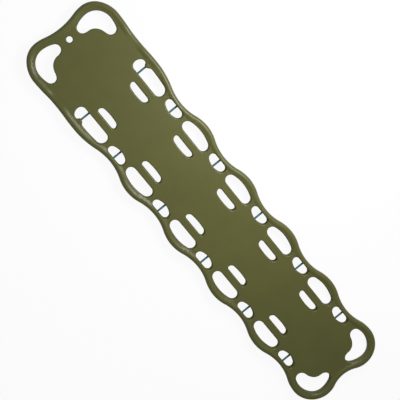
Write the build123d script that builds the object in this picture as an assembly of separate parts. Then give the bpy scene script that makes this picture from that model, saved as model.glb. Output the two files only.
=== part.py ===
from build123d import *
import os
from math import cos, radians, sin, sqrt

# Spine board: a hollow plastic moulding filled with foam, with a strap pin across each of its
# clip openings. X runs from the head end to the foot end, Y across the board, Z up.
# The origin lies under the middle of the board, on the surface that it stands on. Sizes are in mm.

# Length of the board, zone by zone: head to first waist, waist to waist, last waist to foot
head_zone = 514.9
pin_pitch = 269.8
waist_count = 5
foot_zone = 234.9

# Half widths along the waved sides
shoulder_half_width = 203.2
neck_half_width = 198.4
keyhole_half_width = 202.6
crest_half_width = 200.6
waist_half_width = 175.4
foot_half_width = 201.2

# Outline of the two ends, each measured from the tips of its lobes
head_dip = 14.5
head_lobe_y = 110.0
head_shoulder_x = 107.0
neck_x = 220.0
keyhole_crest_x = 340.0
foot_dip = 24.0
foot_lobe_y = 100.0
foot_shoulder_x = 102.0

# Heights
runner_height = 12.0
shell_thickness = 38.0
deck_recess = 5.0

# Moulded skin, rail and rounded edges
skin = 3.5
edge_round = 12.0
hole_round = 5.0
rail_width = 19.0
rail_round = 8.0
deck_round = 18.0

# The rail sinks towards the deck beside the head, between these distances from the head tips
fade_start_x = 156.0
fade_end_x = 276.0
fade_slope = 42.0
fade_depth = 4.6

# Strap slots, and the bars between them and the hand holes
slot_length = 104.4
head_slot_length = 95.5
head_slot_x = 383.3
slot_inner_y = 61.2
slot_width = 27.4
bar_width = 29.8

# Hand holes along the sides
handle_length = 142.0
handle_rail = 32.2

# Clip openings at the waists, and the long keyhole openings nearest the head
clip_length = 87.0
clip_rail = 18.8
keyhole_pin_x = 324.5
keyhole_head_reach = 42.0
keyhole_foot_reach = 125.0
keyhole_rail = 33.0

# Hand holes in the four corners, measured from the tips of the lobes
hand_gap = 88.4
hand_side_rail = 32.3
hand_end_y = 106.5
hand_start_x = 64.5
hand_crown_x = 101.0
hand_web_x = 129.0
hand_bulge_x = 87.0
head_end_rail = 34.5
head_hand_reach = 154.8
foot_end_rail = 29.0
foot_hand_reach = 151.2

# Round hole for hanging the board up
hanging_hole_radius = 12.0
hanging_hole_x = 68.0

# Strap pins, held in the moulding at both ends
pin_radius = 4.0
pin_seat = 9.0
pin_clearance = 0.05
pin_bevel = 0.8

# Runners underneath
runner_start_x = 300.0
runner_end_x = 250.0
runner_ledge = 1.4
runner_slope = 36.0
runner_round = 4.0

# Plugs that close the two foam filling holes underneath
plug_spacing = 600.0
plug_head_radius = 13.0
plug_head_depth = 1.6
plug_shank_radius = 8.0
plug_shank_length = 9.0
plug_clearance = 0.05
plug_bevel = 0.6

# Places that follow from the sizes above
board_length = head_zone + (waist_count - 1) * pin_pitch + foot_zone
head_tip = -board_length / 2
foot_tip = board_length / 2
bottom = runner_height
top = bottom + shell_thickness
deck = top - deck_recess
pin_height = (bottom + deck) / 2
waists = [head_tip + head_zone + i * pin_pitch for i in range(waist_count)]
crests = [x + pin_pitch / 2 for x in waists[:-1]]
keyhole_pin = head_tip + keyhole_pin_x
slot_outer_y = slot_inner_y + slot_width
inner_line_y = slot_outer_y + bar_width
handle_outer_y = crest_half_width - handle_rail
clip_outer_y = waist_half_width - clip_rail
keyhole_outer_y = keyhole_half_width - keyhole_rail
runner_y = slot_outer_y + bar_width / 2
runner_width = bar_width - 2 * (hole_round + runner_ledge)
pin_length = clip_outer_y - inner_line_y + 2 * pin_seat
through = 4 * shell_thickness


def smooth_curve(nodes):
    """Pairs of arcs through nodes of (x, y, heading, weight before, weight after).

    A span between two nodes is two arcs that meet smoothly, one tangent to the heading at each
    end. A weight, times the span's reach along that heading, sets the share of the arc at that
    end. No weight at both ends makes a straight span.
    """
    spans = []
    for a, b in zip(nodes, nodes[1:]):
        start = Vector(a[0], a[1])
        end = Vector(b[0], b[1])
        if a[4] == 0 and b[3] == 0:
            spans.append(Line(start, end))
            continue
        across = end - start
        leaving = Vector(cos(radians(a[2])), sin(radians(a[2])))
        arriving = Vector(cos(radians(b[2])), sin(radians(b[2])))
        ratio = a[4] * abs(across.dot(leaving)) / (b[3] * abs(across.dot(arriving)))
        # The legs are tangents of lengths ratio * leg and leg, and the line between their far
        # ends is as long as both together. That makes a quadratic for the leg.
        square = 2 * ratio * (1 - leaving.dot(arriving))
        linear = 2 * across.dot(leaving * ratio + arriving)
        constant = across.dot(across)
        if square < 1e-9:
            leg = constant / linear
        else:
            leg = (sqrt(linear * linear + 4 * square * constant) - linear) / (2 * square)
        first = start + leaving * (ratio * leg)
        second = end - arriving * leg
        meeting = (first + second * ratio) * (1 / (1 + ratio))
        spans.append(TangentArc(start, meeting, tangent=leaving))
        spans.append(TangentArc(meeting, end, tangent=second - first))
    return spans


def loop_face(spans):
    """The upward face inside a closed run of spans."""
    face = Face(Wire([edge for span in spans for edge in span.edges()]))
    return face if face.normal_at().Z > 0 else -face


def both_sides(shape):
    """A shape on the +Y side and its mirror image on the other."""
    return [shape, mirror(shape, Plane.XZ)]


def outline_face():
    """The board's plan: lobed ends and waved sides, alike on both sides."""
    half = [
        (head_tip + head_dip, 0, 90, 0, 0.44),
        (head_tip, head_lobe_y, 90, 0.25, 0.56),
        (head_tip + head_shoulder_x, shoulder_half_width, 0, 0.58, 0.37),
        (head_tip + neck_x, neck_half_width, 0, 0.35, 0.31),
        (head_tip + keyhole_crest_x, keyhole_half_width, 0, 0.31, 0.456),
        (waists[0], waist_half_width, 0, 0.30, 0.46),
    ]
    for crest, waist in zip(crests, waists[1:]):
        half.append((crest, crest_half_width, 0, 0.36, 0.36))
        half.append((waist, waist_half_width, 0, 0.46, 0.46))
    half += [
        (foot_tip - foot_shoulder_x, foot_half_width, 0, 0.32, 0.62),
        (foot_tip, foot_lobe_y, -90, 0.54, 0.38),
        (foot_tip - foot_dip, 0, -90, 0.46, 0),
    ]
    spans = smooth_curve(half)
    return loop_face(spans + [mirror(span, Plane.XZ) for span in spans])


def bowed_face(centre, half_length, straight, bowed_y, end_y, straight_y, fullness):
    """A D-shaped opening: one side straight, the other bowed, with round ends.

    fullness is that of the bow, of an end on its bowed side and on its straight side, and
    of the corner where the straight side starts.
    """
    bow, end_bowed, end_straight, corner = fullness
    turn = 90 if straight_y < bowed_y else -90
    nodes = [
        (centre, bowed_y, 0, 0, bow),
        (centre + half_length, end_y, -turn, end_bowed, end_straight),
        (centre + straight, straight_y, 180, corner, 0),
        (centre - straight, straight_y, 180, 0, corner),
        (centre - half_length, end_y, turn, end_straight, end_bowed),
        (centre, bowed_y, 0, bow, 0),
    ]
    return loop_face(smooth_curve(nodes))


def handle_face(x):
    """A hand hole, straight on the inner side and bowed along the rail."""
    half = handle_length / 2
    end_y = inner_line_y + 0.4 * (handle_outer_y - inner_line_y)
    fullness = (0.504, 0.66, 0.66, 0.52)
    return bowed_face(x, half, 0.675 * half, handle_outer_y, end_y, inner_line_y, fullness)


def slot_face(x, length):
    """A strap slot, straight on the outer side and bowed towards the middle."""
    half = length / 2
    end_y = slot_inner_y + 0.705 * slot_width
    fullness = (0.41, 0.87, 0.61, 0.77)
    return bowed_face(x, half, 0.77 * half, slot_inner_y, end_y, slot_outer_y, fullness)


def clip_face(x):
    """A clip opening at a waist, straight along the rail and bowed towards the middle."""
    half = clip_length / 2
    end_y = inner_line_y + 0.61 * (clip_outer_y - inner_line_y)
    fullness = (0.50, 0.59, 0.62, 0.62)
    return bowed_face(x, half, 0.62 * half, inner_line_y, end_y, clip_outer_y, fullness)


def keyhole_face():
    """The long opening nearest the head: a clip lobe, a nib at the pin, then a hand hole."""
    x = keyhole_pin
    end_y = inner_line_y + 0.42 * (keyhole_outer_y - inner_line_y)
    lobe_x = x - keyhole_head_reach
    start = (x - 0.52 * keyhole_head_reach, inner_line_y, 180, 0, 0.53)
    nodes = [
        start,
        (lobe_x, end_y, 90, 0.60, 0.39),
        (x - 0.40 * keyhole_head_reach, keyhole_outer_y - 0.8, 0, 0.56, 0.45),
        (x, clip_outer_y, 0, 0.50, 0.38),
        (x + 0.21 * keyhole_foot_reach, keyhole_outer_y, 0, 0.50, 0.415),
        (x + keyhole_foot_reach, end_y, -90, 0.83, 0.64),
        (x + 0.81 * keyhole_foot_reach, inner_line_y, 180, 0.62, 0),
        (start[0], inner_line_y, 180, 0, 0),
    ]
    return loop_face(smooth_curve(nodes))


def corner_hand_face(tip, inwards, end_rail, half_width, reach):
    """A bean-shaped hand hole round a corner of the deck.

    It is drawn for the head end, and mirrored lengthwise where inwards is -1.
    """
    outer_y = half_width - hand_side_rail
    start_y = hand_gap / 2
    nodes = [
        (hand_start_x, start_y, 180, 0, 0.55),
        (end_rail, hand_end_y, 90, 0.55, 0.565),
        (hand_crown_x, outer_y, 0, 0.50, 0.455),
        (reach, outer_y - 26, -90, 0.78, 0.73),
        (hand_web_x, outer_y - 50.5, 192, 0.39, 0.40),
        (hand_bulge_x, start_y + 28.8, 270, 0.567, 0.40),
        (hand_start_x, start_y, 180, 0.84, 0),
    ]
    if inwards < 0:
        nodes = [(-x, y, 180 - heading, before, after) for x, y, heading, before, after in nodes]
    return loop_face([Pos(tip, 0) * span for span in smooth_curve(nodes)])


def side_opening_faces():
    """Plans of the openings on the +Y side."""
    faces = [handle_face(x) for x in crests]
    faces += [clip_face(x) for x in waists]
    faces += [slot_face(x, slot_length) for x in crests]
    faces.append(slot_face(head_tip + head_slot_x, head_slot_length))
    faces.append(keyhole_face())
    faces.append(corner_hand_face(
        head_tip, 1, head_end_rail, shoulder_half_width, head_hand_reach))
    faces.append(corner_hand_face(
        foot_tip, -1, foot_end_rail, foot_half_width, foot_hand_reach))
    return faces


def opening_cutters(grown):
    """Prisms through the board for all its openings, each grown by the same amount."""
    cutters = []
    for face in side_opening_faces():
        plan = offset(face, grown) if grown else face
        cutters += both_sides(extrude(Pos(0, 0, -through / 2) * plan, through))
    hanging_hole = Cylinder(hanging_hole_radius + grown, through)
    return cutters + [Pos(head_tip + hanging_hole_x, 0, 0) * hanging_hole]


def runner(inset):
    """A bar under the +Y side with ramped ends, reaching up into the board."""
    start = head_tip + runner_start_x + inset
    end = foot_tip - runner_end_x - inset
    low = inset
    high = bottom + skin + 1
    side = Polyline(
        (start, high), (start, bottom), (start + runner_slope, low),
        (end - runner_slope, low), (end, bottom), (end, high), close=True,
    )
    width = runner_width - 2 * inset
    bar = extrude(Plane.XZ * make_face(side), width / 2, both=True)
    foot_edges = bar.edges().group_by(Axis.Z)[0].filter_by(Axis.X)
    return Pos(0, runner_y, 0) * fillet(foot_edges, runner_round - inset / 2)


def deck_cutter(plan, inset):
    """What is scooped out of the top to leave the rail standing round the deck."""
    inner = offset(plan, inset - rail_width)
    scoop = extrude(Pos(0, 0, deck - inset) * inner, 2 * deck_round)
    return fillet(scoop.faces().sort_by(Axis.Z)[0].edges(), deck_round)


def rail_fade():
    """Cutters that sink the rail towards the deck beside the head."""
    start = head_tip + fade_start_x
    end = head_tip + fade_end_x
    floor = top - fade_depth
    above = top + 1.0
    fullness = 0.5
    side = smooth_curve([
        (start, above, 0, 0, fullness),
        (start + fade_slope, floor, 0, fullness, 0),
        (end - fade_slope, floor, 0, 0, fullness),
        (end, above, 0, fullness, 0),
        (end, top + shell_thickness, 90, 0, 0),
        (start, top + shell_thickness, 180, 0, 0),
        (start, above, 270, 0, 0),
    ])
    face = Plane.XZ * loop_face(side)
    middle_y = neck_half_width - rail_width / 2
    return both_sides(Pos(0, middle_y, 0) * extrude(face, 1.5 * rail_width, both=True))


def upper_opening_edges(board):
    """Edges where the walls of the openings meet the top, found as level edges of upright faces."""
    edges = []
    for face in board.faces():
        if abs(face.normal_at().Z) > 0.001:
            continue
        for edge in face.edges():
            level = abs(edge.tangent_at(0.5).Z) < 0.9
            if level and edge.position_at(0.5).Z > deck - 0.5:
                edges.append(edge)
    return edges


def board_solid():
    """The board's outer form, solid: lobed blank, dished deck, openings, rounded edges, runners."""
    plan = outline_face()
    blank = extrude(Pos(0, 0, bottom) * plan, shell_thickness)
    ends = blank.faces().sort_by(Axis.Z)
    blank = fillet(ends[0].edges() + ends[-1].edges(), edge_round)
    board = blank - deck_cutter(plan, 0)
    rail_top = board.faces().filter_by(Plane.XY).sort_by(Axis.Z)[-1]
    board = fillet(rail_top.inner_wires()[0].edges(), rail_round)
    board = board - opening_cutters(0)
    underside = board.faces().sort_by(Axis.Z)[0]
    board = fillet([edge for wire in underside.inner_wires() for edge in wire.edges()], hole_round)
    board = fillet(upper_opening_edges(board), hole_round)
    board = board - rail_fade()
    return board + both_sides(runner(0))


def foam_solid():
    """The space inside the moulded skin, which the foam fills."""
    plan = offset(outline_face(), -skin)
    core = extrude(Pos(0, 0, bottom + skin) * plan, shell_thickness - 2 * skin)
    ends = core.faces().sort_by(Axis.Z)
    core = fillet(ends[0].edges() + ends[-1].edges(), edge_round - skin)
    core = core - deck_cutter(outline_face(), skin) - opening_cutters(skin)
    core = core - [Pos(0, 0, -skin) * cutter for cutter in rail_fade()]
    core = core + both_sides(runner(skin))
    sleeve = Rot(90, 0, 0) * Cylinder(pin_radius + skin, pin_length + 2 * skin)
    core = core - [place * sleeve for place in pin_places()]
    collar = Cylinder(plug_shank_radius + skin, 2 * (plug_shank_length + skin))
    return core - [place * collar for place in plug_places()]


def pin_places():
    """Where each strap pin's middle lies, on the +Y side first, from the head down."""
    middle_y = (inner_line_y + clip_outer_y) / 2
    xs = [keyhole_pin] + waists
    return [Pos(x, side * middle_y, pin_height) for side in (1, -1) for x in xs]


def strap_pin():
    """A plain round rod across the board with bevelled ends."""
    rod = Cylinder(pin_radius, pin_length)
    return Rot(90, 0, 0) * chamfer(rod.edges().filter_by(GeomType.CIRCLE), pin_bevel)


def plug_places():
    """The middle of each filling hole, on the underside."""
    return [Pos(side * plug_spacing / 2, 0, bottom) for side in (-1, 1)]


def fill_plug():
    """A push-in plug: a flat head let into the underside, and a shank into the foam."""
    upwards = (Align.CENTER, Align.CENTER, Align.MIN)
    head = Cylinder(plug_head_radius, plug_head_depth, align=upwards)
    shank = Cylinder(plug_shank_radius, plug_shank_length, align=upwards)
    shank = chamfer(shank.edges().sort_by(Axis.Z)[-1], plug_bevel)
    return head + shank


def shell_solid(board, core):
    """The moulded skin, with a blind seat for each end of every pin and for the plugs."""
    seat = Rot(90, 0, 0) * Cylinder(pin_radius + pin_clearance, pin_length + 2 * pin_clearance)
    seats = [place * seat for place in pin_places()]
    sink = Cylinder(plug_head_radius + plug_clearance, 2 * (plug_head_depth + plug_clearance))
    hole = Cylinder(plug_shank_radius + plug_clearance, 2 * (plug_shank_length + plug_clearance))
    holes = [place * (sink + hole) for place in plug_places()]
    return board - [core] - seats - holes


def build_parts():
    """Every piece of the board by its name."""
    board = board_solid()
    core = foam_solid()
    parts = {"shell": shell_solid(board, core), "foam_core": core}
    names = [f"strap_pin_{side}_{i + 1}" for side in ("left", "right") for i in range(waist_count + 1)]
    for name, place in zip(names, pin_places()):
        parts[name] = place * strap_pin()
    for name, place in zip(("fill_plug_head_end", "fill_plug_foot_end"), plug_places()):
        parts[name] = place * fill_plug()
    return parts


if __name__ == "__main__":
    os.makedirs("parts", exist_ok=True)
    for name, shape in build_parts().items():
        export_step(shape, f"parts/{name}.step")
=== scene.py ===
import bpy
import numpy as np
from math import cos, radians, sin, sqrt
from mathutils import Matrix, Vector
from mathutils.geometry import delaunay_2d_cdt


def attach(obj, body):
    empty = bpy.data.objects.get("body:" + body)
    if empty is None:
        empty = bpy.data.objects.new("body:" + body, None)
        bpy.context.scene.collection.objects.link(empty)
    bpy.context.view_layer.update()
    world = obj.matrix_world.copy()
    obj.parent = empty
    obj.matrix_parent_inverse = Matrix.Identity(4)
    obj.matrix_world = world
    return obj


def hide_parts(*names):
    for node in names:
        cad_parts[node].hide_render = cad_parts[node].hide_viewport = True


bl_info = {
    "name": "Spine Board",
    "version": (1, 0, 0),
    "blender": (4, 5, 0),
    "location": "3D View > Sidebar > Spine Board",
    "description": "Dresses the frame of a moulded spine board: shell, strap pins, fill plugs "
                   "and stage",
    "category": "Object",
}

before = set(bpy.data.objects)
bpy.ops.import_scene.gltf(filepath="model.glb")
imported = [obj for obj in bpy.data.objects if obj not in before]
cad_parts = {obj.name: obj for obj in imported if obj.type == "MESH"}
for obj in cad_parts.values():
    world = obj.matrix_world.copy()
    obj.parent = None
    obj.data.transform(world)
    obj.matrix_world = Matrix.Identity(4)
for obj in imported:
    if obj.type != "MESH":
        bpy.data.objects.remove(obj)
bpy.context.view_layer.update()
MM = 0.001
SIDES = {"left": 1, "right": -1}

# Places along the board in mm, from the head end at -X to the foot end at +X
HEAD_ZONE = 514.9
PIN_PITCH = 269.8
WAIST_COUNT = 5
FOOT_ZONE = 234.9
BOARD_LENGTH = HEAD_ZONE + (WAIST_COUNT - 1) * PIN_PITCH + FOOT_ZONE
HEAD_TIP = -BOARD_LENGTH / 2
FOOT_TIP = BOARD_LENGTH / 2
WAISTS = [HEAD_TIP + HEAD_ZONE + i * PIN_PITCH for i in range(WAIST_COUNT)]
CRESTS = [x + PIN_PITCH / 2 for x in WAISTS[:-1]]
KEYHOLE_PIN = HEAD_TIP + 324.5
PIN_XS = [KEYHOLE_PIN] + WAISTS

# Outline of the two ends in mm, measured from the tips of their lobes
HEAD_DIP = 14.5
HEAD_LOBE_Y = 110
SHOULDER_X = 107
NECK_X = 220
KEYHOLE_CREST_X = 340
FOOT_DIP = 24
FOOT_LOBE_Y = 100
FOOT_SHOULDER_X = 102

# Half widths along the waved sides in mm
SHOULDER_Y = 203.2
NECK_Y = 198.4
KEYHOLE_CREST_Y = 202.6
CREST_Y = 200.6
WAIST_Y = 175.4
FOOT_SHOULDER_Y = 201.2

# Lines in mm from the middle, between which the openings lie
SLOT_IN, SLOT_OUT = 61.2, 88.6
HOLE_IN = 118.4
HANDLE_OUT = CREST_Y - 32.2
CLIP_OUT = WAIST_Y - 18.8
KEYHOLE_OUT = 169.6

# Openings along the sides in mm: half their length, and half that of their straight side
HANDLE_HALF, HANDLE_STRAIGHT = 71, 47.925
CLIP_HALF, CLIP_STRAIGHT = 43.5, 26.97
SLOT_HALF, HEAD_SLOT_HALF = 52.2, 47.75
HEAD_SLOT_X = HEAD_TIP + 383.3

# How far the keyhole openings reach from their pin towards the head and the foot, in mm
KEYHOLE_HEAD_REACH = 42
KEYHOLE_FOOT_REACH = 125

# Hand holes in the four corners in mm, measured from the tips of the lobes
HAND_START_X, HAND_START_Y = 64.5, 44.2
HAND_END_Y = 106.5
HAND_CROWN_X = 101
HAND_WEB_X = 129
HAND_BULGE_X = 87
HAND_SIDE_RAIL = 32.3
HEAD_END_RAIL, HEAD_HAND_REACH = 34.5, 154.8
FOOT_END_RAIL, FOOT_HAND_REACH = 29, 151.2

# Round hole for hanging the board up, in mm
HANGING_HOLE_X = HEAD_TIP + 68
HANGING_HOLE_RADIUS = 12

# Heights in mm
BOTTOM = 12.0
DECK = 45.0
TOP = 50.0
PIN_Z = (BOTTOM + DECK) / 2

# The rail sinks and rises again beside the head: where each slope starts, in mm from the head tips
SINK_X, RISE_X = 156, 230
SINK_SLOPE = 46
SINK_DEPTH = 4.6

# Runners in mm: how far they stop short of the tips, their section and the slopes at their ends
RUNNER_HEAD_GAP, RUNNER_FOOT_GAP = 300, 250
RUNNER_Y = 103.5
RUNNER_HALF_WIDTH = 8.5
RUNNER_ROUND = 4.0
RUNNER_SLOPE = 36
RUNNER_ROOT = 2

# Strap pins in mm, and how far each end goes into the moulding
PIN_RADIUS = 4.0
PIN_BEVEL = 0.8
PIN_SEAT = 9

# Fill plugs in mm, from the face of the head up to the end of the shank
PLUG_X = 300
PLUG_RADIUS, PLUG_ROUND, PLUG_DEPTH = 13.0, 0.4, 1.6
PLUG_DIMPLE = [(5.0, 0.5), (6.0, 0.1), (7.0, 0.0)]
PLUG_BACK = [(PLUG_RADIUS, 1.5), (12.9, PLUG_DEPTH)]
PLUG_SHANK = [(8.0, PLUG_DEPTH), (8.0, 8.4), (7.4, 9.0)]

# How finely the surfaces are cut
ROUND_POINTS = 7
BOTTOM_COARSENESS = 3
SHEET_REACH_Y = 210
SHEET_CLEARANCE = 0.6
SLOPE_STEP = 0.8
BATCH = 2000
SMALL = 1e-12
DOWN = np.array([0, 0, -1.0])

# The stage in metres and watts: name, place, aim, size and power of each lamp, then the camera
LAMPS = (
    ("key", (-0.22, 0.9, 1.2), (-0.2, 0.05, 0), 0.5, 19.5),
    ("fill", (-2.0, -0.8, 2.4), (-0.3, 0, 0), 1.6, 6),
)
WORLD_STRENGTH = 0.28
FLOOR_REACH = 30.0
FLOOR_WHITE = 0.93
CAMERA_LENS = 86.85
CAMERA_SHIFT = (-0.0022, 0.0022)
CAMERA_PLACE = (-0.88083, 0.03869, 3.70298)
CAMERA_ACROSS = (0.61778, 0.7754, 0.13075)
CAMERA_UPWARDS = (-0.75496, 0.63137, -0.1772)

SHELL_FINISH = "olive moulded plastic"


# Curves in the plan


def direction(degrees):
    """The unit vector of a heading."""
    return np.array([cos(radians(degrees)), sin(radians(degrees))])


def arc_points(start, heading, end, step):
    """Points and headings along an arc from start to end, its end left out.

    A chord from the start turns evenly from the heading to the far end, and its length is the
    sine of the angle turned over the sine of the whole.
    """
    chord = end - start
    length = np.hypot(*chord)
    turn = np.arctan2(chord[1], chord[0]) - heading
    turn = (turn + np.pi) % (2 * np.pi) - np.pi
    count = max(int(np.ceil(length * (1 + turn * turn / 6) / step)), 2)
    share = np.arange(count) / count
    reach = length * (np.sin(turn * share) / np.sin(turn) if abs(turn) > 1e-6 else share)
    angle = heading + turn * share
    points = start + reach[:, None] * np.stack([np.cos(angle), np.sin(angle)], 1)
    return points, heading + 2 * turn * share


def smooth_path(nodes, step):
    """Points and headings through nodes of (x, y, heading, weight before, weight after).

    Each span is two arcs that meet smoothly, one tangent to the heading at each end; the weights
    share the span between them. No weight at both ends makes a straight span.
    """
    points, headings = [], []
    for a, b in zip(nodes, nodes[1:]):
        *start, start_heading, _, start_weight = a
        *end, end_heading, end_weight, _ = b
        start, end = np.array(start, float), np.array(end, float)
        across = end - start
        if start_weight == 0 and end_weight == 0:
            count = max(int(np.hypot(*across) / step), 2)
            points.append(start + across * (np.arange(count) / count)[:, None])
            headings.append(np.full(count, np.arctan2(across[1], across[0])))
            continue
        leaving, arriving = direction(start_heading), direction(end_heading)
        ratio = start_weight * abs(across @ leaving) / (end_weight * abs(across @ arriving))
        square = 2 * ratio * (1 - leaving @ arriving)
        linear = 2 * across @ (leaving * ratio + arriving)
        constant = across @ across
        if square < 1e-9:
            leg = constant / linear
        else:
            leg = (sqrt(linear * linear + 4 * square * constant) - linear) / (2 * square)
        first = start + leaving * ratio * leg
        second = end - arriving * leg
        meeting = (first + second * ratio) / (1 + ratio)
        line = second - first
        for arc in (
            arc_points(start, radians(start_heading), meeting, step),
            arc_points(meeting, np.arctan2(line[1], line[0]), end, step),
        ):
            points.append(arc[0])
            headings.append(arc[1])
    return np.concatenate(points), np.concatenate(headings)


def loop_of(points, headings):
    """A closed loop turning to the left, as points and the normals that point out of it."""
    ahead = np.roll(points, -1, 0)
    area = np.sum(points[:, 0] * ahead[:, 1] - ahead[:, 0] * points[:, 1])
    normals = np.stack([np.sin(headings), -np.cos(headings)], 1)
    if area < 0:
        return points[::-1], -normals[::-1]
    return points, normals


def mirrored(loop):
    """The same loop on the other side of the board."""
    points, normals = loop
    flip = np.array([1, -1])
    return points[::-1] * flip, normals[::-1] * flip


def outline_loop(step):
    """The board's plan: lobed ends and waved sides, alike on both sides."""
    nodes = [
        (HEAD_TIP + HEAD_DIP, 0, 90, 0, 0.44),
        (HEAD_TIP, HEAD_LOBE_Y, 90, 0.25, 0.56),
        (HEAD_TIP + SHOULDER_X, SHOULDER_Y, 0, 0.58, 0.37),
        (HEAD_TIP + NECK_X, NECK_Y, 0, 0.35, 0.31),
        (HEAD_TIP + KEYHOLE_CREST_X, KEYHOLE_CREST_Y, 0, 0.31, 0.456),
        (WAISTS[0], WAIST_Y, 0, 0.30, 0.46),
    ]
    for crest, waist in zip(CRESTS, WAISTS[1:]):
        nodes += [(crest, CREST_Y, 0, 0.36, 0.36), (waist, WAIST_Y, 0, 0.46, 0.46)]
    nodes += [
        (FOOT_TIP - FOOT_SHOULDER_X, FOOT_SHOULDER_Y, 0, 0.32, 0.62),
        (FOOT_TIP, FOOT_LOBE_Y, -90, 0.54, 0.38),
        (FOOT_TIP - FOOT_DIP, 0, -90, 0.46, 0),
    ]
    points, headings = smooth_path(nodes, step)
    other_points = points[1:][::-1] * np.array([1, -1])
    other_headings = np.pi - headings[1:][::-1]
    last = np.array([[FOOT_TIP - FOOT_DIP, 0]])
    points = np.concatenate([points, last, other_points])
    headings = np.concatenate([headings, [-np.pi / 2], other_headings])
    return loop_of(points, headings)


def bowed_loop(centre, half, straight, bowed_y, end_y, straight_y, weights, step):
    """A D-shaped opening: one side straight, the other bowed, with round ends."""
    bow, end_bowed, end_straight, corner = weights
    turn = 90 if straight_y < bowed_y else -90
    nodes = [
        (centre, bowed_y, 0, 0, bow),
        (centre + half, end_y, -turn, end_bowed, end_straight),
        (centre + straight, straight_y, 180, corner, 0),
        (centre - straight, straight_y, 180, 0, corner),
        (centre - half, end_y, turn, end_straight, end_bowed),
        (centre, bowed_y, 0, bow, 0),
    ]
    return loop_of(*smooth_path(nodes, step))


def keyhole_loop(step):
    """The long opening nearest the head: a clip lobe, a nib at the pin, then a hand hole."""
    x = KEYHOLE_PIN
    end_y = HOLE_IN + 0.42 * (KEYHOLE_OUT - HOLE_IN)
    start_x = x - 0.52 * KEYHOLE_HEAD_REACH
    nodes = [
        (start_x, HOLE_IN, 180, 0, 0.53),
        (x - KEYHOLE_HEAD_REACH, end_y, 90, 0.60, 0.39),
        (x - 0.4 * KEYHOLE_HEAD_REACH, KEYHOLE_OUT - 0.8, 0, 0.56, 0.45),
        (x, CLIP_OUT, 0, 0.50, 0.38),
        (x + 0.21 * KEYHOLE_FOOT_REACH, KEYHOLE_OUT, 0, 0.50, 0.415),
        (x + KEYHOLE_FOOT_REACH, end_y, -90, 0.83, 0.64),
        (x + 0.81 * KEYHOLE_FOOT_REACH, HOLE_IN, 180, 0.62, 0),
        (start_x, HOLE_IN, 180, 0, 0),
    ]
    return loop_of(*smooth_path(nodes, step))


def corner_loop(tip, inwards, end_rail, half_width, reach, step):
    """A bean-shaped hand hole round a corner of the deck."""
    outer = half_width - HAND_SIDE_RAIL
    nodes = [
        (HAND_START_X, HAND_START_Y, 180, 0, 0.55),
        (end_rail, HAND_END_Y, 90, 0.55, 0.565),
        (HAND_CROWN_X, outer, 0, 0.50, 0.455),
        (reach, outer - 26, -90, 0.78, 0.73),
        (HAND_WEB_X, outer - 50.5, 192, 0.39, 0.40),
        (HAND_BULGE_X, HAND_START_Y + 28.8, 270, 0.567, 0.40),
        (HAND_START_X, HAND_START_Y, 180, 0.84, 0),
    ]
    points, headings = smooth_path(nodes, step)
    if inwards < 0:
        points = points * np.array([-1, 1])
        headings = np.pi - headings
    return loop_of(points + np.array([tip, 0]), headings)


def round_loop(x, radius, step):
    """A circle on the board's middle line."""
    angle = np.linspace(0, 2 * np.pi, int(2 * np.pi * radius / step), endpoint=False)
    normals = np.stack([np.cos(angle), np.sin(angle)], 1)
    return np.array([x, 0]) + radius * normals, normals


def opening_loops(step):
    """All the openings, as loops whose normals point into the plastic."""
    side = []
    end_y = HOLE_IN + 0.4 * (HANDLE_OUT - HOLE_IN)
    weights = (0.504, 0.66, 0.66, 0.52)
    for x in CRESTS:
        side.append(bowed_loop(
            x, HANDLE_HALF, HANDLE_STRAIGHT, HANDLE_OUT, end_y, HOLE_IN, weights, step))
    end_y = HOLE_IN + 0.61 * (CLIP_OUT - HOLE_IN)
    weights = (0.50, 0.59, 0.62, 0.62)
    for x in WAISTS:
        side.append(bowed_loop(
            x, CLIP_HALF, CLIP_STRAIGHT, HOLE_IN, end_y, CLIP_OUT, weights, step))
    end_y = SLOT_IN + 0.705 * (SLOT_OUT - SLOT_IN)
    weights = (0.41, 0.87, 0.61, 0.77)
    for x, half in [(x, SLOT_HALF) for x in CRESTS] + [(HEAD_SLOT_X, HEAD_SLOT_HALF)]:
        side.append(bowed_loop(x, half, 0.77 * half, SLOT_IN, end_y, SLOT_OUT, weights, step))
    side.append(keyhole_loop(step))
    side.append(corner_loop(HEAD_TIP, 1, HEAD_END_RAIL, SHOULDER_Y, HEAD_HAND_REACH, step))
    side.append(corner_loop(FOOT_TIP, -1, FOOT_END_RAIL, FOOT_SHOULDER_Y, FOOT_HAND_REACH, step))
    hanging_hole = round_loop(HANGING_HOLE_X, HANGING_HOLE_RADIUS, step)
    return side + [mirrored(loop) for loop in side] + [hanging_hole]


# Heights of the top


def smooth_step(t):
    """Rises from 0 to 1 with level ends: 3 t squared less 2 t cubed."""
    t = np.clip(t, 0, 1)
    return t * t * (3 - 2 * t)


def batches(count):
    """Indices in runs short enough for a table of distances to each point of the loops."""
    return np.array_split(np.arange(count), max(count // BATCH, 1))


def inset_of(points, outline):
    """How far each point lies inside the outline, along the normal of its nearest point there."""
    edge, normals = outline
    result = np.empty(len(points))
    for part in batches(len(points)):
        gap = edge[None] - points[part, None]
        nearest = np.argmin((gap ** 2).sum(2), 1)
        rows = np.arange(len(part))
        result[part] = (gap[rows, nearest] * normals[nearest]).sum(1)
    return result


def top_height(points, outline, sizes):
    """Height of the top over points of the plan.

    The deck is level. The rail stands round it, level over its own width and then falling to the
    deck along a smooth step. Beside the head the rail sinks along two more such steps.
    """
    inset = inset_of(points, outline)
    rail = 1 - smooth_step((inset - sizes.rail_width) / sizes.rail_slope)
    x = points[:, 0] - HEAD_TIP
    sunk = smooth_step((x - SINK_X) / SINK_SLOPE) * (1 - smooth_step((x - RISE_X) / SINK_SLOPE))
    return DECK + rail * (TOP - DECK - SINK_DEPTH * sunk)


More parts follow.
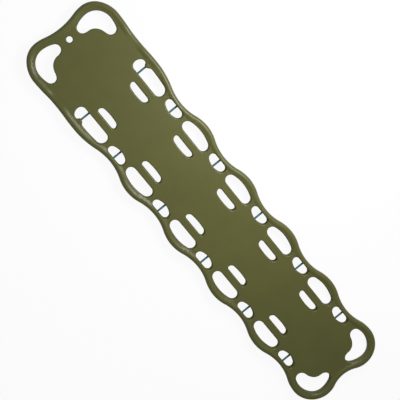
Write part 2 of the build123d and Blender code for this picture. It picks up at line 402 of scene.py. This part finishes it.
def top_slope(points, outline, sizes):
    """Normals of the top, from its height a little way along X and Y."""
    rise = []
    for way in (np.array([SLOPE_STEP, 0]), np.array([0, SLOPE_STEP])):
        ahead = top_height(points + way, outline, sizes)
        behind = top_height(points - way, outline, sizes)
        rise.append((ahead - behind) / (2 * SLOPE_STEP))
    normals = np.stack([-rise[0], -rise[1], np.ones(len(points))], 1)
    return normals / np.linalg.norm(normals, axis=1, keepdims=True)


# Surfaces


def add_mesh(name, points, triangles, normals=None):
    """A piece from points in mm and triangles, smooth shaded, with given point normals if any."""
    mesh = bpy.data.meshes.new(name)
    mesh.vertices.add(len(points))
    mesh.vertices.foreach_set("co", (points * MM).astype(np.float32).ravel())
    mesh.loops.add(triangles.size)
    mesh.loops.foreach_set("vertex_index", triangles.astype(np.int32).ravel())
    mesh.polygons.add(len(triangles))
    mesh.polygons.foreach_set("loop_start", np.arange(0, triangles.size, 3, dtype=np.int32))
    mesh.update(calc_edges=True)
    mesh.polygons.foreach_set("use_smooth", np.ones(len(triangles), bool))
    mesh.validate()
    if normals is not None:
        mesh.normals_split_custom_set_from_vertices(normals.tolist())
    piece = bpy.data.objects.new(name, mesh)
    bpy.context.scene.collection.objects.link(piece)
    return piece


def strip(first, second, count):
    """Triangles between two closed rings of count points that start at these indices."""
    here = np.arange(count)
    ahead = (here + 1) % count
    return np.concatenate([
        np.stack([first + here, second + here, second + ahead], 1),
        np.stack([first + here, second + ahead, first + ahead], 1),
    ])


def turned(profile, centre, axis, count=48):
    """A closed surface: a profile of (radius, height) turned about an axis through a centre.

    Each ring's points are the radius times cosine and sine across the axis, and the two ends
    are fans from points on the axis.
    """
    axis = np.array(axis, float)
    across = np.array([1.0, 0.0, 0.0]) if axis[2] else np.array([0.0, 0.0, 1.0])
    second = np.cross(axis, across)
    angle = np.linspace(0, 2 * np.pi, count, endpoint=False)
    circle = np.cos(angle)[:, None] * across + np.sin(angle)[:, None] * second
    profile = np.array(profile, float)
    rings = profile[:, 0, None, None] * circle[None] + profile[:, 1, None, None] * axis
    points = rings.reshape(-1, 3)
    ends = np.stack([profile[0, 1] * axis, profile[-1, 1] * axis])
    faces = [strip(i * count, (i + 1) * count, count)[:, ::-1] for i in range(len(profile) - 1)]
    here = np.arange(count)
    ahead = (here + 1) % count
    low, high = len(points), len(points) + 1
    last = (len(profile) - 1) * count
    faces.append(np.stack([np.full(count, low), ahead, here], 1))
    faces.append(np.stack([np.full(count, high), last + here, last + ahead], 1))
    return np.concatenate([points, ends]) + np.array(centre), np.concatenate(faces)


def inside_loops(points, loops):
    """Which points lie in the plastic: inside an odd number of the loops."""
    starts = np.concatenate(loops)
    ends = np.concatenate([np.roll(loop, -1, 0) for loop in loops])
    low = np.minimum(starts[:, 1], ends[:, 1])
    high = np.maximum(starts[:, 1], ends[:, 1])
    rise = ends[:, 1] - starts[:, 1]
    run = (ends[:, 0] - starts[:, 0]) / np.where(np.abs(rise) < SMALL, SMALL, rise)
    result = np.empty(len(points), bool)
    for part in batches(len(points)):
        x, y = points[part, 0, None], points[part, 1, None]
        crossed = (y >= low) & (y < high) & (x < starts[:, 0] + (y - starts[:, 1]) * run)
        result[part] = crossed.sum(1) % 2 == 1
    return result


def sheet_between(rings, spacing):
    """Fills the plastic between the rings with triangles.

    The inner points are a grid of equilateral triangles, kept where they are inside the plastic
    and clear of the rings. Returns them and the triangles, which count the rings' points first.
    """
    border = np.concatenate(rings)
    xs = np.arange(HEAD_TIP, FOOT_TIP, spacing)
    ys = np.arange(-SHEET_REACH_Y, SHEET_REACH_Y, spacing * sqrt(3) / 2)
    grid = np.stack(np.meshgrid(xs, ys), -1)
    grid[1::2, :, 0] += spacing / 2
    grid = grid.reshape(-1, 2)
    grid = grid[inside_loops(grid, rings)]
    clear = np.empty(len(grid), bool)
    for part in batches(len(grid)):
        gap = ((border[None] - grid[part, None]) ** 2).sum(2)
        clear[part] = gap.min(1) > (SHEET_CLEARANCE * spacing) ** 2
    grid = grid[clear]
    edges, start = [], 0
    for ring in rings:
        here = np.arange(len(ring))
        edges.append(np.stack([start + here, start + (here + 1) % len(ring)], 1))
        start += len(ring)
    places = np.concatenate([border, grid])
    made = delaunay_2d_cdt(
        [Vector(place) for place in places.tolist()], np.concatenate(edges).tolist(), [], 1, 1e-6)
    triangles = np.array(made[2])
    if len(made[0]) != len(places):
        raise RuntimeError("the sheet's points were merged")
    middles = places[triangles].mean(1)
    return grid, triangles[inside_loops(middles, rings)]


def edge_rings(edge, into, radius, outline, sizes):
    """Rings of (places, heights, normals) over a rounded edge, down the wall and in below.

    The edge's loop is the wall; into is the way from it into the plastic.
    """
    angle = np.linspace(0, np.pi / 2, ROUND_POINTS)
    level = np.concatenate([-into, np.zeros((len(edge), 1))], 1)
    rings = []
    for a in angle[::-1]:
        place = edge + into * (radius * (1 - cos(a)))
        height = top_height(place, outline, sizes) - radius * (1 - sin(a))
        slope = top_slope(place, outline, sizes)
        rings.append((place, height, cos(a) * level + sin(a) * slope))
    high, low = rings[-1][1], BOTTOM + radius
    rings.append((edge, high + (low - high) / 2, level))
    for a in angle:
        place = edge + into * (radius * (1 - cos(a)))
        height = np.full(len(edge), BOTTOM + radius * (1 - sin(a)))
        rings.append((place, height, cos(a) * level + sin(a) * DOWN))
    return rings


def shell_surface(sizes):
    """Points, normals and triangles of the shell's outer surface.

    Rings run round the outline and each opening, from the top down to the bottom. One sheet
    fills the plastic between the first rings, and another between the last.
    """
    outline = outline_loop(sizes.edge_step)
    edge, out = outline
    loops = [(edge, -out, sizes.edge_round)]
    for edge, into in opening_loops(sizes.edge_step):
        loops.append((edge[::-1], into[::-1], sizes.hole_round))
    points, normals, faces, tops, bottoms = [], [], [], [], []
    total = 0
    for edge, into, radius in loops:
        rings = edge_rings(edge, into, radius, outline, sizes)
        count = len(edge)
        for place, height, normal in rings:
            points.append(np.concatenate([place, height[:, None]], 1))
            normals.append(normal / np.linalg.norm(normal, axis=1, keepdims=True))
        starts = total + count * np.arange(len(rings))
        faces += [strip(first, second, count) for first, second in zip(starts, starts[1:])]
        tops.append((rings[0][0], starts[0]))
        bottoms.append((rings[-1][0], starts[-1]))
        total += count * len(rings)

    for ends, above in ((tops, True), (bottoms, False)):
        spacing = sizes.sheet_step * (1 if above else BOTTOM_COARSENESS)
        grid, triangles = sheet_between([ring for ring, _ in ends], spacing)
        index = [np.arange(start, start + len(ring)) for ring, start in ends]
        index = np.concatenate([*index, np.arange(total, total + len(grid))])
        if above:
            height = top_height(grid, outline, sizes)
            normals.append(top_slope(grid, outline, sizes))
            faces.append(index[triangles])
        else:
            height = np.full(len(grid), BOTTOM)
            normals.append(np.tile(DOWN, (len(grid), 1)))
            faces.append(index[triangles[:, ::-1]])
        points.append(np.concatenate([grid, height[:, None]], 1))
        total += len(grid)
    return np.concatenate(points), np.concatenate(normals), np.concatenate(faces)


def runner_surface(side):
    """Points and triangles of a runner: a rounded bar whose foot rises away at both ends."""
    start, end = HEAD_TIP + RUNNER_HEAD_GAP, FOOT_TIP - RUNNER_FOOT_GAP
    length = end - start
    along = np.concatenate([
        np.linspace(0, RUNNER_SLOPE, 13),
        np.linspace(RUNNER_SLOPE, length - RUNNER_SLOPE, 60)[1:],
        np.linspace(length - RUNNER_SLOPE, length, 13)[1:],
    ])
    x = start + along
    slopes = smooth_step(along / RUNNER_SLOPE) * smooth_step((length - along) / RUNNER_SLOPE)
    depth = BOTTOM * slopes
    bend = np.linspace(0, np.pi / 2, 6)
    y = np.concatenate([RUNNER_HALF_WIDTH - RUNNER_ROUND + RUNNER_ROUND * np.cos(bend), [0]])
    y = np.concatenate([y, -y[:-1][::-1]])
    lift = np.concatenate([RUNNER_ROUND * (1 - np.sin(bend)), [0]])
    lift = np.concatenate([lift, lift[:-1][::-1]])
    z = BOTTOM - depth[:, None] + np.minimum(lift[None], depth[:, None])
    foot = np.stack([
        np.broadcast_to(x[:, None], z.shape),
        np.broadcast_to(side * RUNNER_Y + y[None], z.shape), z], -1)
    roof = foot.copy()
    roof[:, :, 2] = BOTTOM + RUNNER_ROOT
    rings = np.concatenate([foot, roof[:, ::-1]], 1)
    count = rings.shape[1]
    faces = [strip(i * count, (i + 1) * count, count) for i in range(len(x) - 1)]
    here = np.arange(1, count - 1)
    cap = np.stack([np.zeros(count - 2, int), here, here + 1], 1)
    faces += [cap, cap[:, ::-1] + (len(x) - 1) * count]
    return rings.reshape(-1, 3), np.concatenate(faces)


# Settings


class SpineBoardSizes(bpy.types.PropertyGroup):
    """Sizes of the dressed shell and the spacing of its points, in mm."""

    edge_round: bpy.props.FloatProperty(
        name="Edge round", description="Radius of the board's outer edges in mm", default=13.0)
    hole_round: bpy.props.FloatProperty(
        name="Opening round", description="Radius of the openings' edges in mm", default=5.0)
    rail_width: bpy.props.FloatProperty(
        name="Rail width", description="Level part of the rail from the outline in mm",
        default=15.5)
    rail_slope: bpy.props.FloatProperty(
        name="Rail slope", description="Width of the rail's inner slope in mm", default=12.0)
    edge_step: bpy.props.FloatProperty(
        name="Edge step", description="Spacing of points along the edges in mm", default=4.0)
    sheet_step: bpy.props.FloatProperty(
        name="Sheet step", description="Spacing of points across the deck in mm", default=7.0)


class SpineBoardColours(bpy.types.PropertyGroup):
    """Colours of the finishes, in linear light."""

    shell: bpy.props.FloatVectorProperty(
        name="Shell", description="Moulded olive plastic", subtype="COLOR", size=3,
        default=(0.113, 0.115, 0.031))
    pins: bpy.props.FloatVectorProperty(
        name="Strap pins", description="Blue-grey plastic rod", subtype="COLOR", size=3,
        default=(0.06, 0.17, 0.2))
    plugs: bpy.props.FloatVectorProperty(
        name="Fill plugs", description="Olive plastic of the plugs", subtype="COLOR", size=3,
        default=(0.09, 0.086, 0.03))
    foam: bpy.props.FloatVectorProperty(
        name="Foam", description="Foam inside the shell", subtype="COLOR", size=3,
        default=(0.72, 0.62, 0.38))


# Finishes


def plastic(name, colour, roughness, grain, grain_depth, mottle):
    """Plastic or foam: mottled in colour and gloss, with fine grain over a slow ripple."""
    material = bpy.data.materials.new(name)
    material.use_nodes = True
    nodes, links = material.node_tree.nodes, material.node_tree.links
    shader = nodes["Principled BSDF"]
    shader.inputs["Specular IOR Level"].default_value = 0.35
    shader.inputs["IOR"].default_value = 1.5
    place = nodes.new("ShaderNodeTexCoord").outputs["Object"]

    def noise(scale, detail, rough):
        node = nodes.new("ShaderNodeTexNoise")
        node.inputs["Scale"].default_value = scale
        node.inputs["Detail"].default_value = detail
        node.inputs["Roughness"].default_value = rough
        links.new(place, node.inputs["Vector"])
        return node.outputs["Fac"]

    shade = nodes.new("ShaderNodeValToRGB")
    dark, light = shade.color_ramp.elements
    dark.position, light.position = 0.3, 0.7
    dark.color = (*[c * (1 - mottle) for c in colour], 1)
    light.color = (*[c * (1 + mottle) for c in colour], 1)
    links.new(noise(scale=9, detail=4, rough=0.55), shade.inputs["Fac"])
    links.new(shade.outputs["Color"], shader.inputs["Base Color"])

    gloss = nodes.new("ShaderNodeMapRange")
    gloss.inputs["To Min"].default_value = roughness - 0.04
    gloss.inputs["To Max"].default_value = roughness + 0.06
    links.new(noise(scale=35, detail=3, rough=0.6), gloss.inputs["Value"])
    links.new(gloss.outputs["Result"], shader.inputs["Roughness"])

    fine = nodes.new("ShaderNodeBump")
    fine.inputs["Strength"].default_value = grain_depth
    fine.inputs["Distance"].default_value = 0.0003
    links.new(noise(scale=grain, detail=3, rough=0.6), fine.inputs["Height"])
    ripple = nodes.new("ShaderNodeBump")
    ripple.inputs["Strength"].default_value = 0.25
    ripple.inputs["Distance"].default_value = 0.0012
    links.new(noise(scale=14, detail=2, rough=0.5), ripple.inputs["Height"])
    links.new(ripple.outputs["Normal"], fine.inputs["Normal"])
    links.new(fine.outputs["Normal"], shader.inputs["Normal"])
    return material


def white_floor():
    """A pale floor, nearly white to the camera, that keeps a faint shadow of the object."""
    material = bpy.data.materials.new("pale floor")
    material.use_nodes = True
    nodes, links = material.node_tree.nodes, material.node_tree.links
    shader = nodes["Principled BSDF"]
    shader.inputs["Base Color"].default_value = (0.9, 0.9, 0.9, 1)
    shader.inputs["Roughness"].default_value = 0.9
    white = nodes.new("ShaderNodeEmission")
    white.inputs["Color"].default_value = (1, 1, 1, 1)
    white.inputs["Strength"].default_value = 1.0
    share = nodes.new("ShaderNodeMath")
    share.operation = "MULTIPLY"
    share.inputs[1].default_value = FLOOR_WHITE
    mix = nodes.new("ShaderNodeMixShader")
    path = nodes.new("ShaderNodeLightPath")
    links.new(path.outputs["Is Camera Ray"], share.inputs[0])
    links.new(share.outputs["Value"], mix.inputs["Fac"])
    links.new(shader.outputs["BSDF"], mix.inputs[1])
    links.new(white.outputs["Emission"], mix.inputs[2])
    links.new(mix.outputs["Shader"], nodes["Material Output"].inputs["Surface"])
    return material


# Stage


def studio_world():
    """Soft white light from all round, and plain white where the camera sees past the floor."""
    world = bpy.data.worlds.new("studio")
    world.use_nodes = True
    nodes, links = world.node_tree.nodes, world.node_tree.links
    light = nodes["Background"]
    seen = nodes.new("ShaderNodeBackground")
    for node, strength in ((light, WORLD_STRENGTH), (seen, 1.0)):
        node.inputs["Color"].default_value = (1, 1, 1, 1)
        node.inputs["Strength"].default_value = strength
    mix = nodes.new("ShaderNodeMixShader")
    path = nodes.new("ShaderNodeLightPath")
    links.new(path.outputs["Is Camera Ray"], mix.inputs["Fac"])
    links.new(light.outputs["Background"], mix.inputs[1])
    links.new(seen.outputs["Background"], mix.inputs[2])
    links.new(mix.outputs["Shader"], nodes["World Output"].inputs["Surface"])
    return world


def square_lamp(name, place, aim, size, power):
    """A square lamp that faces a point."""
    lamp = bpy.data.lights.new(name, "AREA")
    lamp.size = size
    lamp.energy = power
    light = bpy.data.objects.new(name, lamp)
    light.location = place
    way = Vector(aim) - Vector(place)
    light.rotation_euler = way.to_track_quat("-Z", "Y").to_euler()
    return light


def photo_camera():
    """The camera of the photograph, from its place and the picture's two directions."""
    data = bpy.data.cameras.new("camera")
    data.sensor_width = 36.0
    data.lens = CAMERA_LENS
    data.shift_x, data.shift_y = CAMERA_SHIFT
    data.clip_start, data.clip_end = 0.1, 100
    camera = bpy.data.objects.new("camera", data)
    across = Vector(CAMERA_ACROSS).normalized()
    back = across.cross(Vector(CAMERA_UPWARDS)).normalized()
    turn = Matrix((across, back.cross(across), back)).transposed()
    camera.matrix_world = Matrix.Translation(CAMERA_PLACE) @ turn.to_4x4()
    return camera


# Operators


class SPINEBOARD_OT_shell(bpy.types.Operator):
    """Build the moulded shell in place of its CAD node"""

    bl_idname = "spineboard.shell"
    bl_label = "Shell"

    def execute(self, context):
        points, normals, faces = shell_surface(context.scene.spineboard_sizes)
        piece = add_mesh("board_shell", points, faces, normals)
        colour = context.scene.spineboard_colours.shell
        piece.data.materials.append(plastic(
            SHELL_FINISH, colour, roughness=0.37, grain=900, grain_depth=0.25, mottle=0.05))
        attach(piece, "root")
        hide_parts("shell")
        return {"FINISHED"}


class SPINEBOARD_OT_runners(bpy.types.Operator):
    """Build the two runners under the shell"""

    bl_idname = "spineboard.runners"
    bl_label = "Runners"

    def execute(self, context):
        for name, side in SIDES.items():
            piece = add_mesh(f"runner_{name}", *runner_surface(side))
            piece.data.materials.append(bpy.data.materials[SHELL_FINISH])
            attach(piece, "root")
            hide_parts("shell")
        return {"FINISHED"}


class SPINEBOARD_OT_pins(bpy.types.Operator):
    """Build the strap pins across the clip openings"""

    bl_idname = "spineboard.pins"
    bl_label = "Strap pins"

    def execute(self, context):
        colour = context.scene.spineboard_colours.pins
        finish = plastic(
            "blue-grey rod plastic", colour, roughness=0.4, grain=1500, grain_depth=0.3,
            mottle=0.08)
        half = (CLIP_OUT - HOLE_IN) / 2 + PIN_SEAT
        end = PIN_RADIUS - PIN_BEVEL
        profile = [(end, -half), (PIN_RADIUS, -half + PIN_BEVEL)]
        profile += [(PIN_RADIUS, y) for y in np.linspace(-half + 3, half - 3, 9)]
        profile += [(PIN_RADIUS, half - PIN_BEVEL), (end, half)]
        for name, side in SIDES.items():
            for i, x in enumerate(PIN_XS):
                centre = (x, side * (CLIP_OUT + HOLE_IN) / 2, PIN_Z)
                points, faces = turned(profile, centre, (0, 1, 0))
                piece = add_mesh(f"pin_{name}_{i + 1}", points, faces)
                piece.data.materials.append(finish)
                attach(piece, "root")
                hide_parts(f"strap_pin_{name}_{i + 1}")
        return {"FINISHED"}


class SPINEBOARD_OT_plugs(bpy.types.Operator):
    """Build the fill plugs under the board"""

    bl_idname = "spineboard.plugs"
    bl_label = "Fill plugs"

    def execute(self, context):
        colour = context.scene.spineboard_colours.plugs
        finish = plastic(
            "olive plug plastic", colour, roughness=0.4, grain=1200, grain_depth=0.3,
            mottle=0.06)
        flat = PLUG_RADIUS - PLUG_ROUND
        bend = np.linspace(0, np.pi / 2, 5)
        rim = [(flat + PLUG_ROUND * sin(a), PLUG_ROUND * (1 - cos(a))) for a in bend]
        profile = PLUG_DIMPLE + rim + PLUG_BACK + PLUG_SHANK
        for name, x in (("head_end", -PLUG_X), ("foot_end", PLUG_X)):
            points, faces = turned(profile, (x, 0, BOTTOM), (0, 0, 1))
            piece = add_mesh(f"plug_{name}", points, faces)
            piece.data.materials.append(finish)
            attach(piece, "root")
            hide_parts(f"fill_plug_{name}")
        return {"FINISHED"}


class SPINEBOARD_OT_foam(bpy.types.Operator):
    """Give the foam inside the shell its finish"""

    bl_idname = "spineboard.foam"
    bl_label = "Foam core"

    def execute(self, context):
        colour = context.scene.spineboard_colours.foam
        finish = plastic(
            "closed-cell foam", colour, roughness=0.85, grain=400, grain_depth=0.8, mottle=0.12)
        node = bpy.data.objects["foam_core"]
        node.data.materials.clear()
        node.data.materials.append(finish)
        return {"FINISHED"}


class SPINEBOARD_OT_stage(bpy.types.Operator):
    """Set up the floor, the lights and the camera"""

    bl_idname = "spineboard.stage"
    bl_label = "Stage"

    def execute(self, context):
        scene = context.scene
        scene.view_settings.view_transform = "Standard"
        mesh = bpy.data.meshes.new("floor")
        corners = [(-1, -1), (1, -1), (1, 1), (-1, 1)]
        mesh.from_pydata(
            [(x * FLOOR_REACH, y * FLOOR_REACH, 0) for x, y in corners], [], [(0, 1, 2, 3)])
        floor = bpy.data.objects.new("floor", mesh)
        scene.collection.objects.link(floor)
        floor.data.materials.append(white_floor())
        scene.world = studio_world()
        for lamp in LAMPS:
            scene.collection.objects.link(square_lamp(*lamp))
        camera = photo_camera()
        scene.collection.objects.link(camera)
        scene.camera = camera
        return {"FINISHED"}


class SPINEBOARD_PT_panel(bpy.types.Panel):
    """Lists the board's pieces in the sidebar"""

    bl_idname = "SPINEBOARD_PT_panel"
    bl_label = "Spine Board"
    bl_space_type = "VIEW_3D"
    bl_region_type = "UI"
    bl_category = "Spine Board"

    def draw(self, context):
        for operator in OPERATORS:
            self.layout.operator(operator.bl_idname)


OPERATORS = (
    SPINEBOARD_OT_shell, SPINEBOARD_OT_runners, SPINEBOARD_OT_pins,
    SPINEBOARD_OT_plugs, SPINEBOARD_OT_foam, SPINEBOARD_OT_stage,
)
CLASSES = (SpineBoardSizes, SpineBoardColours, *OPERATORS, SPINEBOARD_PT_panel)


def register():
    """Registers the classes and hangs the settings on the scene."""
    for one in CLASSES:
        bpy.utils.register_class(one)
    bpy.types.Scene.spineboard_sizes = bpy.props.PointerProperty(type=SpineBoardSizes)
    bpy.types.Scene.spineboard_colours = bpy.props.PointerProperty(type=SpineBoardColours)


def unregister():
    """Takes the settings and the classes away again."""
    del bpy.types.Scene.spineboard_colours
    del bpy.types.Scene.spineboard_sizes
    for one in reversed(CLASSES):
        bpy.utils.unregister_class(one)


def main():
    """Runs the operators in order."""
    register()
    bpy.ops.spineboard.shell()
    bpy.ops.spineboard.runners()
    bpy.ops.spineboard.pins()
    bpy.ops.spineboard.plugs()
    bpy.ops.spineboard.foam()
    bpy.ops.spineboard.stage()


if __name__ == "__main__":
    main()
